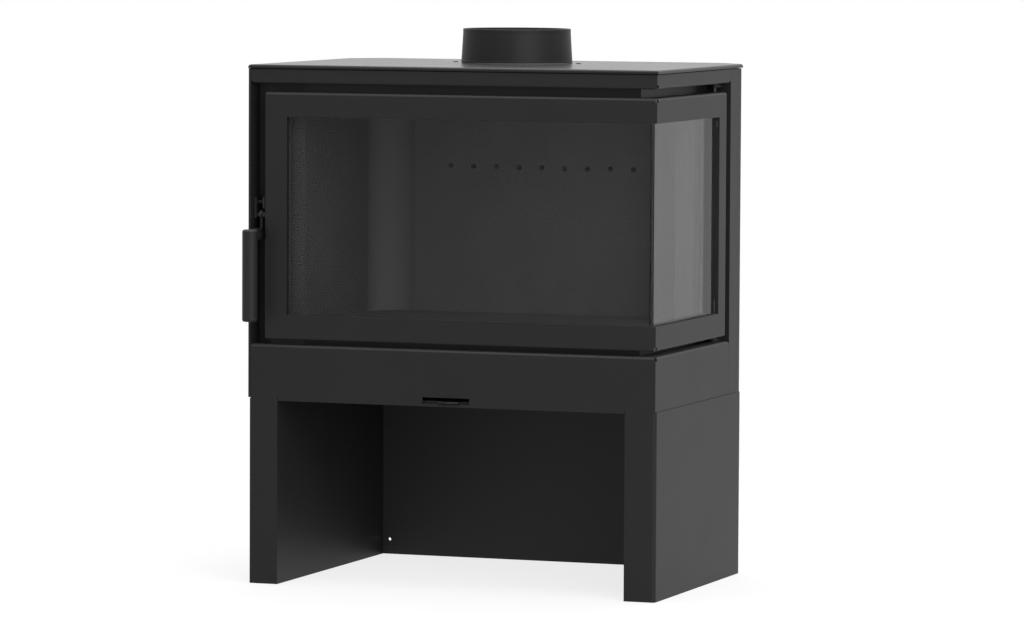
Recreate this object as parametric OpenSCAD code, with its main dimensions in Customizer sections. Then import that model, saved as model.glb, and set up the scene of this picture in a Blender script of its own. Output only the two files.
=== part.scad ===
// Corner fireplace stove: a steel stove with a glass door that wraps round its front right
// corner, a hanging bar handle at the left, and an open bench for logs below.
// Front faces -Y, right side faces +X, up is +Z. All sizes are in millimetres.

/* [Body] */
// Width of the casing across the front
body_w = 580; // [560:1:640]
// Depth of the casing from the front face to the back face
body_d = 397; // [385:1:440]
// Height from the top of the stand to the underside of the top plate
case_h = 447; // [430:1:520]
// Leg of the 45 degree cut on each rear corner
corner_cut = 36; // [28:1:44]
// Thickness of the casing sheet
sheet_t = 3; // [2:0.5:3]
// Outer radius of the folded edges round the door
fold_r = 4; // [2:0.5:5]
// Depth of the folded flanges behind those edges
flange_d = 20; // [12:1:24]
// How far the left side panel stands proud of the stand
panel_proud = 2; // [1:0.5:2.5]
// Length of the rear casing's side walls in front of the cut corners
rear_return = 14; // [10:1:20]
// Width of the narrow seams between casing pieces
seam = 0.3; // [0.2:0.1:0.5]

/* [Stand] */
// Height of the stand
stand_h = 252; // [180:1:400]
// Width of the left leg across the front
left_leg_w = 40.5; // [32:0.5:60]
// Width of the right leg across the front
right_leg_w = 43.5; // [34:0.5:62]
// Radius of the right leg's folded front corner
leg_corner_r = 5; // [3:0.5:8]
// Radius of the left leg's sharper front corner
left_corner_r = 1; // [0.5:0.5:8]
// Step by which the right leg stands proud of the casing
stand_step = 1; // [0.5:0.5:2]
// Drop of the lower panel's lip between the legs
lip_h = 2.5; // [1:0.5:5]
// Width of the relief slits at the ends of that lip
slit_w = 0.8; // [0.5:0.1:1.5]
// Radius of the fixing holes in the stand's back panel
fixing_r = 2.25; // [2:0.25:5]
// Height of the fixing holes above the floor
fixing_z = 21; // [15:1:60]
// Distance of each fixing hole from the leg's inner wall
fixing_in = 10; // [8:1:30]
// Radius of the bolts that hold the casing on the stand
stand_bolt_r = 4; // [3:0.5:5]

/* [Top plate] */
// Thickness of the top plate
top_t = 5; // [4:0.5:8]
// Radius of the top plate's upper edges
top_edge_r = 3.6; // [1:0.1:3.8]
// Overhang of the top plate past the casing
top_over = 2; // [1:0.5:5]
// Open gap between the casing and the top plate
top_gap = 1; // [1:0.5:3]
// Radius of the two small screws in the top plate
top_screw_r = 2; // [1.5:0.5:3]
// Distance of each top screw from the flue's axis
top_screw_x = 90; // [86:1:110]

/* [Flue] */
// Radius of the straight land at the rim of the flue collar
flue_r = 74; // [70:0.1:76]
// Height of that straight land
flue_land_h = 6; // [4:1:12]
// Difference in radius between the land and the collar's foot
flue_taper = 2.2; // [1:0.1:3]
// Height of the collar above the top plate
flue_h = 47; // [35:1:70]
// Wall thickness of the collar at its rim
flue_wall = 4.7; // [4.5:0.1:7]
// Distance of the flue's axis behind the front face
flue_y = 255; // [245:1:270]
// Thickness of the gasket under the collar
flue_gasket_t = 1.5; // [1:0.5:3]
// Height of the collar's foot ring
flue_foot_h = 2; // [1:0.5:3]
// How far the foot ring stands out from the foot of the cone
flue_foot_out = 0.4; // [0.2:0.2:2]

/* [Front] */
// Height of the band above the door
fascia_h = 19; // [16:0.5:24]
// Height of the panel below the door
lower_h = 73.5; // [70:0.5:90]
// Gap between the band and the door
gap_top = 12; // [11:0.5:16]
// Gap between the lower panel and the door
gap_bottom = 7.5; // [7.5:0.5:12]
// Gap between the door and the right pillar
gap_rear = 15.5; // [13:0.5:18]
// Width of the recess at the left of the door
gap_left = 20.6; // [20:0.2:23]
// Width of the right pillar
pillar_w = 32.5; // [28:0.5:38]
// Radius of the rounded ends of the band, the lower panel and the door's corners
end_r = 6; // [3:0.5:8]
// Width of the small relief notches at the folded corners
relief_w = 2.6; // [1.5:0.1:3.2]
// Height of those relief notches
relief_h = 5.5; // [3:0.5:6]

/* [Air control] */
// Width of the slot for the air control's tab
slot_w = 67; // [60:1:76]
// Height of that slot
slot_h = 9; // [7:0.5:11]
// Distance of the slot's lower edge above the stand
slot_z = 0.8; // [0.5:0.1:1]
// Distance of the slot's middle to the left of the casing's middle
slot_in = 6; // [0:1:20]
// Width of the tab where it passes the slot
tab_w = 28; // [24:1:30]
// Distance of the tab's middle to the right of the slot's middle
tab_in = 4.6; // [3:0.2:5]
// Length of the tab in front of the lower panel
tab_l = 9; // [7:0.5:14]
// Thickness of the air slider
slider_t = 2; // [1.5:0.5:2.5]
// Width of each air window in the floor and in the slider
window_w = 20; // [16:1:20]
// Number of air windows
window_n = 3; // [2:1:3]

/* [Door] */
// Width of the door frame round the glass
rail_w = 33; // [32:0.5:38]
// Depth of the door frame
door_t = 24; // [23:0.5:25]
// Depth of the lip between the frame's face and the glass
lip_d = 8.4; // [7:0.2:9]
// Thickness of the glass
glass_t = 4; // [3:0.5:4.5]
// Width of glass held behind the frame
glass_lap = 12; // [10:0.5:12.5]
// Thickness of the tape between frame and glass
tape_t = 1.2; // [0.8:0.2:2]
// Width of the rope seal
rope_w = 12; // [9:0.5:12]
// Distance of the rope seal from the door's edge
rope_in = 15; // [15:0.5:16]
// Radius of the screws of the glass retainer
door_screw_r = 2; // [1.5:0.5:2]

/* [Hinge] */
// Distance of the hinge axis from the casing's right face
hinge_x_in = 16; // [15:0.5:16]
// Distance of the hinge axis from the door's rear edge
hinge_y_in = 8.5; // [8:0.5:9]
// Radius of the hinge pins
pin_r = 2.5; // [2:0.25:2.5]
// Radial clearance of the hinge and latch pivots
run_fit = 0.05; // [0.02:0.01:0.1]
// Thickness of the hinge lugs
lug_t = 3.5; // [3:0.5:3.5]
// Length of each hinge pin inside the door
pin_in = 18; // [14:1:24]

/* [Handle and latch] */
// Radius of the handle
grip_r = 10.5; // [8:0.5:10.5]
// Length of the handle
grip_l = 124.5; // [100:0.5:160]
// Distance of the handle's axis in front of the door
grip_out = 29.5; // [26:0.5:45]
// Distance of the handle's axis to the right of the casing's left face
grip_x = 12.5; // [12.5:0.5:13.5]
// Height of the handle's top above the door's lower edge
grip_top = 149.5; // [140:0.5:200]
// Height of the latch pivot above the handle's top
pivot_up = 18; // [17:0.5:24]
// Depth of the latch pivot behind the front face
pivot_y = 14; // [13.5:0.5:14.5]
// Thickness of the lever
lever_t = 3.5; // [3:0.25:3.5]
// Height of the lever's arm
arm_h = 15; // [10:0.5:15]
// Height of the keeper pin above the latch pivot
keeper_up = 17; // [17:0.5:18]
// Distance of the keeper pin behind the latch pivot
keeper_back = 6; // [5.5:0.5:6.5]

/* [Firebox] */
// Distance of the firebox front behind the front face
front_set = 31; // [31:0.5:34]
// Distance of the firebox side behind the casing's right face
side_set = 33; // [33:0.5:36]
// Thickness of the firebox's front frame
frame_t = 5; // [4:0.5:6]
// Thickness of the firebox walls
wall_t = 4; // [3:0.5:5]
// Thickness of the firebox floor
floor_plate_t = 6; // [4:0.5:8]
// Air gap between the left side panel and the firebox
side_gap = 21; // [17:1:24]
// Air gap between the rear casing and the firebox
back_gap = 14; // [14:1:20]
// Height of the firebox above the stand
firebox_lift = 66; // [60:1:68]
// Air gap between the firebox and the top plate
head_gap = 9; // [7:0.5:12]
// Leg of the 45 degree cut on the firebox's rear corners
firebox_cut = 60; // [56:1:62]
// Thickness of the lining boards
lining_t = 28.5; // [24:0.5:30]
// Thickness of the lining on the floor
floor_lining_t = 28; // [20:1:32]
// Radius of the curved lining in the left rear corner
lining_r = 50; // [44:1:54]
// Thickness of the baffle
baffle_t = 25; // [18:1:28]
// Distance of the baffle's front edge behind the front face
baffle_y = 110; // [90:1:140]
// Number of secondary air holes in the back lining
air_n = 9; // [5:1:9]
// Pitch of the secondary air holes
air_pitch = 33.7; // [28:0.1:34]
// Radius of the secondary air holes
air_r = 4; // [3:0.5:5]
// Distance of the secondary air holes below the top of the door glass
air_drop = 78.5; // [60:0.5:100]

/* [Hidden] */
$fn = 64;
eps = 0.01;
far = 100;

// Colours as the photograph shows them
paint = [0.21, 0.21, 0.22];
dark = [0.13, 0.13, 0.14];
steel = [0.62, 0.62, 0.62];
board = [0.30, 0.29, 0.28];
pane = [0.22, 0.23, 0.24, 0.5];
rope = [0.55, 0.54, 0.50];

// Small clearances
gap = 0.3;
bolt_fit = 0.3;
screw_fit = 0.1;

// Heights
z_case0 = stand_h;
z_case1 = z_case0 + case_h;
z_trim1 = z_case1 - top_gap;
z_fascia0 = z_trim1 - fascia_h;
z_door1 = z_fascia0 - gap_top;
z_panel1 = z_case0 + lower_h;
z_door0 = z_panel1 + gap_bottom;
z_plate1 = z_case1 + top_t;

// Plan lines of the casing
corner_k = 2 - sqrt(2);
x_panel = sheet_t - panel_proud;
x_trim0 = x_panel + seam;
y_rear0 = body_d - corner_cut - rear_return;
y_pillar0 = y_rear0 - pillar_w;
y_side1 = y_pillar0 - seam;
y_door1 = y_pillar0 - gap_rear;
x_stand1 = body_w + stand_step;
x_leg0 = left_leg_w;
x_leg1 = x_stand1 - right_leg_w;
floor_t = 2.5;
relief_y = 6.5;
flue_x = body_w / 2;
panel_lift = 1.3;
top_flange_d = 12;
top_head_h = 0.8;

// Depths behind the outer face of the door
glass_d0 = lip_d + tape_t;
glass_d1 = glass_d0 + glass_t;
glass_bevel = 1.2;
side_bevel_l = 5;
retainer_d0 = glass_d1 + 0.4;
retainer_t = 2.5;
retainer_d1 = retainer_d0 + retainer_t;
channel_t = 2.4;
rope_d0 = retainer_d1 + gap;
rope_out = rope_in + rope_w;
rope_play = 0.2;
retainer_in = sheet_t + 1;
retainer_out = rail_w - 1;
standoff_in = 9;
standoff_r = 4;
standoff_bore = 8;
door_head_r = 3;
door_head_h = 2;
// Slits in the lip at the side glass's rear edge: depth from the side face, width, height of
// the middle, length
rear_slits = [[3.1, 2, z_door1 - 42.5, 8], [5.5, 1.8, z_door0 + 43, 20]];
front_fix_l = 38;
front_fix_r = 60;
side_fix_f = 40;
side_fix_r = 54;
front_pitch = (body_w - gap_left - front_fix_l - front_fix_r) / 4;
side_pitch = (y_door1 - side_fix_f - side_fix_r) / 2;
front_xs = [for (i = [0:4]) gap_left + front_fix_l + i * front_pitch];
side_ys = [for (i = [0:2]) side_fix_f + i * side_pitch];
stile_fix_in = 67;
stile_zs = [z_door0 + stile_fix_in, z_door1 - stile_fix_in];

// Hinge
hinge_x = body_w - hinge_x_in;
hinge_y = y_door1 - hinge_y_in;
block_half = 8;
block_y0 = y_door1 - rope_in + 0.8;
block_y1 = y_door1 - sheet_t;
block_fit = 0.5;
lug_r = 5.5;
upper_lug_z = z_door1 + 6.5;
lower_lug_z = z_panel1 + gap;
pin_head_r = 4.5;
pin_head_h = 1.5;
pin_short = 1;

// Handle and latch
grip_z1 = z_door0 + grip_top;
grip_z0 = grip_z1 - grip_l;
grip_round = 3;
grip_y = -grip_out;
pivot_z = grip_z1 + pivot_up;
pivot_r = 2.5;
eye_r = 6;
lever_x0 = grip_x - 2.2;
lever_x1 = lever_x0 + lever_t;
arm_deep = 6;
arm_fit = 0.1;
strut_front = 3.2;
washer_t = 1.4;
washer_r = 4.5;
pivot_tail = 4.5;
nut_t = 4;
nut_clear = 2;
keeper_x0 = x_panel + 0.6;
keeper_left_t = 3.5;
keeper_right_x = lever_x1 + 0.8;
keeper_right_t = 2.5;
keeper_pin_r = 2.5;
keeper_y = pivot_y + keeper_back;
keeper_z = pivot_z + keeper_up;
keeper_front = pivot_y - 4;
keeper_top = 7;
keeper_left_drop = 5;
keeper_right_up = 9.5;
hook_y0 = keeper_back + keeper_pin_r + 0.4;
hook_t = 5;
hook_top = keeper_up + 4;
latch_slot_x0 = lever_x0 - 1.8;
latch_slot_x1 = latch_slot_x0 + 10;
latch_slot_z0 = pivot_z - 8;
latch_slot_z1 = pivot_z + 19.5;

// Firebox
fb_x0 = x_panel + side_gap;
fb_x1 = body_w - side_set;
fb_y0 = front_set + frame_t;
fb_y1 = body_d - sheet_t - back_gap;
fb_z0 = z_case0 + firebox_lift;
fb_z1 = z_case1 - head_gap;
fb_in_x0 = fb_x0 + wall_t;
fb_in_x1 = fb_x1 - wall_t;
fb_in_y1 = fb_y1 - wall_t;
fb_frame_x = fb_x1 - frame_t;
fb_cut_in = firebox_cut - wall_t * corner_k;
stile_y1 = y_door1 + 17;
stile_step = 13.9;
open_x0 = gap_left + rail_w + stile_step;
open_y1 = y_door1 - rail_w;
open_z0 = z_door0 + rail_w - 4;
open_z1 = z_door1 - rail_w + 2;
floor_z1 = fb_z0 + floor_plate_t;
floor_lining_z1 = floor_z1 + floor_lining_t;
lining_z1 = open_z1 + 4;
lining_x = fb_in_x0 + lining_t;
lining_y = fb_in_y1 - lining_t;
arc_x = lining_x + lining_r;
arc_y = lining_y - lining_r;
right_lining_x = fb_in_x1 - lining_t;
baffle_x1 = fb_frame_x - 3.6;
support_t = 3;
support_foot = 25;
support_up = 32;
air_z = z_door1 - rail_w - air_drop;
air_x = flue_x + 4;
outlet_r = flue_r - flue_wall - 1;
outlet_wall = 2;
outlet_up = 40;
plate_hole_r = outlet_r + 1.5;
collar_in_r = flue_r - flue_wall;
rim_bevel = 0.8;
foot_bevel = 0.4;
foot_r = flue_r + flue_taper;

// Secondary air duct behind the firebox
sec_half = 145;
sec_d = 11;
sec_z0 = fb_z0 + 22;
sec_z1 = air_z + 24.5;
duct_t = 1.5;

// Air control
slot_x = body_w / 2 - slot_in;
slot_z0 = z_case0 + slot_z;
tab_x = slot_x + tab_in;
slider_z0 = z_case0 + floor_t + 0.2;
slider_y0 = sheet_t + 3;
slider_half = 74;
window_y0 = fb_y0 + 8;
window_l = 20;
window_pitch = window_w * 2 + 4;
duct_half = window_pitch * (window_n - 1) / 2 + window_w / 2 + 4;
duct_y0 = window_y0 - 6;
duct_y1 = window_y0 + window_l + 6;
duct_z0 = slider_z0 + slider_t + 0.5;
slider_y1 = duct_y1 + 5;
guide_t = 4;
guide_lip_t = 1.5;
guide_lip_w = 4;

// Fasteners and supports
screw_head_h = 2;
socket_r = 1.7;
socket_h = 1.3;
small_socket_r = 1.2;
rear_screw_r = 2.5;
rear_head_r = 5;
spacer_r = 7;
spacer_clear = 4;
rear_in = sec_half + spacer_r + spacer_clear;
rear_xs = [air_x - rear_in, air_x + rear_in];
rear_zs = [fb_z0 + 26, fb_z1 - 36];
top_xs = [fb_x0 + 80, fb_x1 - 80];
top_ys = [fb_y0 + 50, fb_y1 - 50];
support_w = 44;
support_wall = 2.5;
support_y0 = 90;
support_y1 = 350;
support_xs = [fb_x0 + 50, fb_x1 - 50 - support_w];
bolt_head_r = 6.5;
bolt_head_h = 5;
bolt_nut_h = 6.5;
bolt_tail = 2;
bolt_xs = [x_leg0 / 2, (x_leg1 + x_stand1) / 2];
bolt_ys = [60, body_d - corner_cut - 31];

// Origin: middle of the whole object's box, on the floor
x_min = -max(panel_proud, top_over);
x_max = body_w + max(stand_step, top_over);
y_min = grip_y - grip_r;
y_max = body_d + max(top_over, screw_head_h);

module place() translate([-(x_min + x_max) / 2, -(y_min + y_max) / 2, 0]) children();

// Plan outline with the two rear corners cut at 45 degrees
module cut_plan(x0, x1, y0, y1, c)
  polygon([[x0, y0], [x1, y0], [x1, y1 - c], [x1 - c, y1], [x0 + c, y1], [x0, y1 - c]]);

module casing_plan(inset)
  cut_plan(inset, body_w - inset, inset, body_d - inset, corner_cut - inset * corner_k);

// Plan outline inside the firebox walls
module firebox_plan(inset, y0)
  cut_plan(fb_in_x0 + inset, fb_in_x1 - inset, y0, fb_in_y1 - inset, fb_cut_in - inset * corner_k);

module slab(z0, z1) translate([0, 0, z0]) linear_extrude(z1 - z0) children();

// Plan strip that runs along the front and turns back along the right side. It lies between
// two depths, given for the front and for the side.
module strip_plan(x0, y1, front0, side0, front1, side1)
  polygon([
    [x0, front0], [body_w - side0, front0], [body_w - side0, y1],
    [body_w - side1, y1], [body_w - side1, front1], [x0, front1]
  ]);

module strip(x0, y1, d0, d1, z0, z1) slab(z0, z1) strip_plan(x0, y1, d0, d0, d1, d1);

// What is cut from a corner at the origin to round it
module round_off(r)
  difference() {
    translate([-1, -1]) square(r + 1);
    translate([r, r]) circle(r);
  }

module round_post(x, y, r, turn)
  translate([x, y, -1]) rotate([0, 0, turn]) linear_extrude(z_plate1 + 2) round_off(r);

// Depth across, height up, with the two corners at zero depth rounded
module edge_profile(l, z0, z1, r0, r1)
  difference() {
    translate([0, z0]) square([l, z1 - z0]);
    if (r0 > 0) translate([0, z0]) round_off(r0);
    if (r1 > 0) translate([0, z1]) mirror([0, 1]) round_off(r1);
  }

module along_x(x0, x1) translate([x0, 0, 0]) rotate([90, 0, 90]) linear_extrude(x1 - x0) children();
module along_y(y0, y1) translate([0, y1, 0]) rotate([90, 0, 0]) linear_extrude(y1 - y0) children();

// Rounds the long horizontal edges of what it is given, on the front and on the right side
module soft_edges(z0, z1, r0, r1)
  intersection() {
    union() children();
    along_x(-far, body_w + far) edge_profile(body_d, z0, z1, r0, r1);
    along_y(-far, body_d + far) translate([body_w, 0]) mirror([1, 0])
      edge_profile(body_w + far, z0, z1, r0, r1);
  }

// Ring of rails that wraps the corner, inset from the door's edges, between two depths
module door_ring(in0, in1, front0, side0, front1, side1)
  difference() {
    slab(z_door0 + in0, z_door1 - in0)
      strip_plan(gap_left + in0, y_door1 - in0, front0, side0, front1, side1);
    slab(z_door0 + in1, z_door1 - in1)
      strip_plan(gap_left + in1, y_door1 - in1, front0 - 1, side0 - 1, front1 + 1, side1 + 1);
  }

// Small notch where two folded edges meet at the front right corner
module relief_notch(z0)
  translate([body_w - relief_w, -1, z0]) cube([relief_w + 1, relief_y + 1, relief_h]);

module ring_solid(r_in, r_out, z0, z1)
  slab(z0, z1) difference() {
    circle(r_out);
    circle(r_in);
  }

module leg(outer0, inner0, front0, front1) {
  z_flange = stand_h - sheet_t;
  translate([outer0, 0, 0]) cube([sheet_t, body_d - corner_cut - seam, stand_h]);
  translate([inner0, 0, 0]) cube([sheet_t, body_d - sheet_t - seam, stand_h]);
  translate([front0, 0, 0]) cube([front1 - front0, sheet_t, stand_h]);
  translate([front0, 0, z_flange]) cube([front1 - front0, body_d - corner_cut - seam, sheet_t]);
}

module bolt_holes(x)
  for (y = bolt_ys)
    translate([x, y, z_case0 - sheet_t - 1]) cylinder(r = stand_bolt_r + bolt_fit, h = sheet_t + floor_t + 2);

module stand_left_leg() color(paint)
  difference() {
    leg(0, x_leg0 - sheet_t, 0, x_leg0);
    bolt_holes(bolt_xs[0]);
    round_post(0, 0, left_corner_r, 0);
  }

module stand_right_leg() color(paint)
  difference() {
    leg(x_stand1 - sheet_t, x_leg1, x_leg1, x_stand1);
    bolt_holes(bolt_xs[1]);
    round_post(x_stand1, 0, leg_corner_r, 90);
  }

module stand_back_panel() color(paint)
  difference() {
    slab(0, stand_h) difference() {
      cut_plan(0, x_stand1, 0, body_d, corner_cut);
      cut_plan(sheet_t, x_stand1 - sheet_t, -1, body_d - sheet_t, corner_cut - sheet_t * corner_k);
      translate([-1, -1]) square([x_stand1 + 2, body_d - corner_cut + 1]);
    }
    for (x = [x_leg0 + fixing_in, x_leg1 - fixing_in])
      translate([x, body_d + 1, fixing_z]) rotate([90, 0, 0]) cylinder(r = fixing_r, h = sheet_t + 2);
  }

module stand_bolts() color(steel)
  for (x = bolt_xs, y = bolt_ys)
    translate([x, y, 0]) {
      z_head = z_case0 + floor_t;
      z_nut = z_case0 - sheet_t - bolt_nut_h;
      z_end = z_nut - bolt_tail;
      translate([0, 0, z_nut]) cylinder(r = bolt_head_r, h = bolt_nut_h, $fn = 6);
      translate([0, 0, z_end]) cylinder(r = stand_bolt_r, h = z_head + 1 - z_end);
      translate([0, 0, z_head]) cylinder(r = bolt_head_r, h = bolt_head_h, $fn = 6);
    }

module window_cuts(z0, z1)
  for (i = [0:window_n - 1]) {
    x = tab_x + (i - (window_n - 1) / 2) * window_pitch - window_w / 2;
    translate([x, window_y0, z0]) cube([window_w, window_l, z1 - z0]);
  }

module casing_floor() color(dark)
  difference() {
    slab(z_case0, z_case0 + floor_t) {
      casing_plan(sheet_t + seam);
      translate([x_trim0, sheet_t + seam]) square([sheet_t, y_rear0 - sheet_t - 2 * seam]);
    }
    for (x = bolt_xs) bolt_holes(x);
    window_cuts(z_case0 - 1, z_case0 + floor_t + 1);
  }

module lower_panel() color(paint)
  difference() {
    soft_edges(z_case0 - lip_h, z_panel1, 0, fold_r) {
      strip(x_trim0, y_side1, 0, sheet_t, z_case0, z_panel1);
      strip(x_trim0, y_side1, 0, flange_d, z_panel1 - sheet_t, z_panel1);
      translate([x_leg0, 0, z_case0 - lip_h]) cube([x_leg1 - x_leg0, sheet_t, lip_h + 1]);
    }
    for (x = [x_leg0 - slit_w / 4, x_leg1 - slit_w * 3 / 4])
      translate([x, -1, z_case0 - lip_h - 1]) cube([slit_w, sheet_t + 2, lip_h + panel_lift + 1]);
    translate([slot_x - slot_w / 2, -1, slot_z0]) cube([slot_w, sheet_t + 2, slot_h]);
    relief_notch(z_panel1 - relief_h + eps);
    along_x(body_w / 2, body_w + 1) translate([y_side1, z_panel1]) rotate(180) round_off(end_r);
  }

module fascia_band() color(paint)
  difference() {
    soft_edges(z_fascia0, z_trim1, fold_r, 0) {
      strip(x_trim0, y_side1, 0, sheet_t, z_fascia0, z_trim1);
      strip(x_trim0, y_side1, 0, flange_d, z_fascia0, z_fascia0 + sheet_t);
      strip(x_trim0, y_side1, 0, top_flange_d, z_trim1 - sheet_t, z_trim1);
    }
    relief_notch(z_fascia0 - eps);
    along_x(body_w / 2, body_w + 1) translate([y_side1, z_fascia0]) rotate(90) round_off(end_r);
    along_y(-1, flange_d + 1) translate([x_trim0, z_fascia0]) round_off(end_r);
  }

module right_pillar() color(paint) {
  z_return = z_case0 + floor_t + seam;
  translate([body_w - sheet_t, y_pillar0, z_case0])
    cube([sheet_t, pillar_w - seam, z_trim1 - z_case0]);
  translate([fb_x1 + 1, y_pillar0, z_return])
    cube([side_set - 1 - sheet_t + eps, sheet_t, z_trim1 - z_return]);
}

module left_side_panel() color(paint)
  translate([x_panel - sheet_t, 0, z_case0 + panel_lift])
    cube([sheet_t, y_rear0 - seam, z_case1 - seam - z_case0 - panel_lift]);

module rear_holes(r, y0, y1)
  for (x = rear_xs, z = rear_zs)
    translate([x, y0, z]) rotate([-90, 0, 0]) cylinder(r = r, h = y1 - y0);

module rear_casing() color(paint)
  difference() {
    slab(z_case0, z_trim1) difference() {
      casing_plan(0);
      casing_plan(sheet_t);
      translate([-1, -1]) square([body_w + 2, y_rear0 + 1]);
    }
    rear_holes(rear_screw_r + bolt_fit, body_d - sheet_t - 1, body_d + 1);
  }

module rear_spacers() color(dark)
  difference() {
    rear_holes(spacer_r, fb_y1, body_d - sheet_t);
    rear_holes(rear_screw_r + bolt_fit, fb_y1 - 1, body_d);
  }

module rear_screws() color(dark)
  difference() {
    union() {
      rear_holes(rear_screw_r, fb_y1 + 1, body_d + eps);
      rear_holes(rear_head_r, body_d, body_d + screw_head_h);
    }
    rear_holes(socket_r, body_d + screw_head_h - socket_h, body_d + screw_head_h + 1, $fn = 6);
  }

// Half space below one edge of the top plate, given by the edge's direction and distance
module plate_side(turn, dist)
  translate([flue_x, body_d / 2, 0]) rotate([0, 0, turn]) along_y(-3 * far - body_w, 3 * far + body_w)
    translate([dist, 0]) mirror([1, 0]) edge_profile(4 * far + 2 * body_w, z_case1, z_plate1, 0, top_edge_r);

module top_screw_holes(r)
  for (s = [-1, 1])
    translate([flue_x + s * top_screw_x, flue_y, fb_z1 - 1]) cylinder(r = r, h = head_gap + top_t + 2);

module top_plate() color(paint) {
  half_w = body_w / 2 + top_over;
  half_d = body_d / 2 + top_over;
  cut_dist = (body_w / 2 + body_d / 2 - corner_cut) / sqrt(2) + top_over;
  difference() {
    intersection() {
      plate_side(0, half_w);
      plate_side(180, half_w);
      plate_side(90, half_d);
      plate_side(270, half_d);
      plate_side(45, cut_dist);
      plate_side(135, cut_dist);
    }
    translate([flue_x, flue_y, z_case1 - 1]) cylinder(r = plate_hole_r, h = top_t + 2);
    top_screw_holes(top_screw_r + screw_fit);
  }
}

module top_spacers() color(dark) {
  for (x = top_xs, y = top_ys)
    translate([x, y, fb_z1]) cylinder(r = spacer_r, h = head_gap);
  difference() {
    for (s = [-1, 1])
      translate([flue_x + s * top_screw_x, flue_y, fb_z1]) cylinder(r = spacer_r, h = head_gap);
    top_screw_holes(top_screw_r + screw_fit);
  }
}

// Hexagonal recess in the head of a screw that ends at height z
module small_socket(z)
  translate([0, 0, z - socket_h]) cylinder(r = small_socket_r, h = socket_h + 1, $fn = 6);

module top_screws() color(dark)
  for (s = [-1, 1])
    translate([flue_x + s * top_screw_x, flue_y, 0]) difference() {
      union() {
        translate([0, 0, fb_z1 + 1]) cylinder(r = top_screw_r, h = head_gap + top_t - 1 + eps);
        translate([0, 0, z_plate1]) cylinder(r = top_screw_r * 1.7, h = top_head_h);
      }
      small_socket(z_plate1 + top_head_h);
    }

module flue_collar() color(paint)
  translate([flue_x, flue_y, 0]) {
    z0 = z_plate1 + flue_gasket_t;
    z1 = z0 + flue_foot_h;
    z3 = z_plate1 + flue_h;
    z2 = z3 - rim_bevel;
    rotate_extrude($fn = 128) polygon([
      [collar_in_r, z0], [foot_r + flue_foot_out, z0], [foot_r + flue_foot_out, z1 - foot_bevel],
      [foot_r, z1], [flue_r, z2 - flue_land_h], [flue_r, z2], [flue_r - rim_bevel, z3],
      [collar_in_r + rim_bevel, z3], [collar_in_r, z2]
    ]);
  }

module flue_gasket() color(dark)
  translate([flue_x, flue_y, 0])
    ring_solid(collar_in_r + 1, foot_r - 0.6, z_plate1, z_plate1 + flue_gasket_t, $fn = 128);

module flue_outlet_tube() color(dark)
  translate([flue_x, flue_y, 0])
    ring_solid(outlet_r - outlet_wall, outlet_r, fb_z1 - wall_t, fb_z1 + outlet_up, $fn = 128);

module firebox_left_wall() color(dark)
  translate([fb_x0, fb_y0, fb_z0]) cube([wall_t, fb_y1 - firebox_cut - fb_y0, fb_z1 - fb_z0]);

module air_holes(y0, y1)
  for (i = [0:air_n - 1])
    translate([air_x + (i - (air_n - 1) / 2) * air_pitch, y0, air_z])
      rotate([-90, 0, 0]) cylinder(r = air_r, h = y1 - y0);

module firebox_back_wall() color(dark)
  difference() {
    slab(fb_z0, fb_z1) {
      difference() {
        cut_plan(fb_x0, fb_x1, fb_y0, fb_y1, firebox_cut);
        firebox_plan(0, fb_y0 - 1);
        translate([fb_x0 - 1, fb_y0 - 1]) square([fb_x1 - fb_x0 + 2, fb_y1 - firebox_cut - fb_y0 + 1]);
      }
      translate([fb_in_x1, stile_y1]) square([wall_t, fb_y1 - firebox_cut - stile_y1 + eps]);
    }
    air_holes(fb_in_y1 - 1, fb_y1 + 1);
  }

module firebox_inside(inset)
  intersection() {
    firebox_plan(inset, fb_y0 + inset);
    translate([fb_in_x0, fb_y0]) square([fb_frame_x - inset - fb_in_x0, fb_y1]);
  }

module floor_window(z0, z1)
  translate([tab_x - duct_half + 4, window_y0, z0]) cube([2 * duct_half - 8, window_l, z1 - z0]);

module firebox_floor() color(dark)
  difference() {
    slab(fb_z0, floor_z1) firebox_inside(0);
    floor_window(fb_z0 - 1, floor_z1 + 1);
  }

module firebox_roof() color(dark)
  difference() {
    slab(fb_z1 - wall_t, fb_z1) firebox_inside(0);
    translate([flue_x, flue_y, fb_z1 - wall_t - 1]) cylinder(r = outlet_r, h = wall_t + 2, $fn = 128);
  }

// The frame beside the latch is made of three bars, with a slot for the hook between them
module stile_bar(x0, x1, z0, z1) translate([x0, front_set, z0]) cube([x1 - x0, frame_t, z1 - z0]);

module firebox_left_stile() color(dark) stile_bar(latch_slot_x1, open_x0, fb_z0, fb_z1);
module latch_strip() color(dark) stile_bar(x_trim0, latch_slot_x0, fb_z0, fb_z1);
module stile_infill() color(dark) {
  stile_bar(latch_slot_x0, latch_slot_x1, fb_z0, latch_slot_z0);
  stile_bar(latch_slot_x0, latch_slot_x1, latch_slot_z1, fb_z1);
}

module firebox_rear_stile() color(dark)
  translate([fb_frame_x, open_y1, fb_z0]) cube([frame_t, stile_y1 - open_y1, fb_z1 - fb_z0]);

module firebox_rail(z0, z1)
  slab(z0, z1) strip_plan(open_x0, open_y1, front_set, side_set, fb_y0, side_set + frame_t);

module firebox_top_rail() color(dark) firebox_rail(open_z1, fb_z1);
module firebox_bottom_rail() color(dark) firebox_rail(fb_z0, open_z0);

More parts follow.
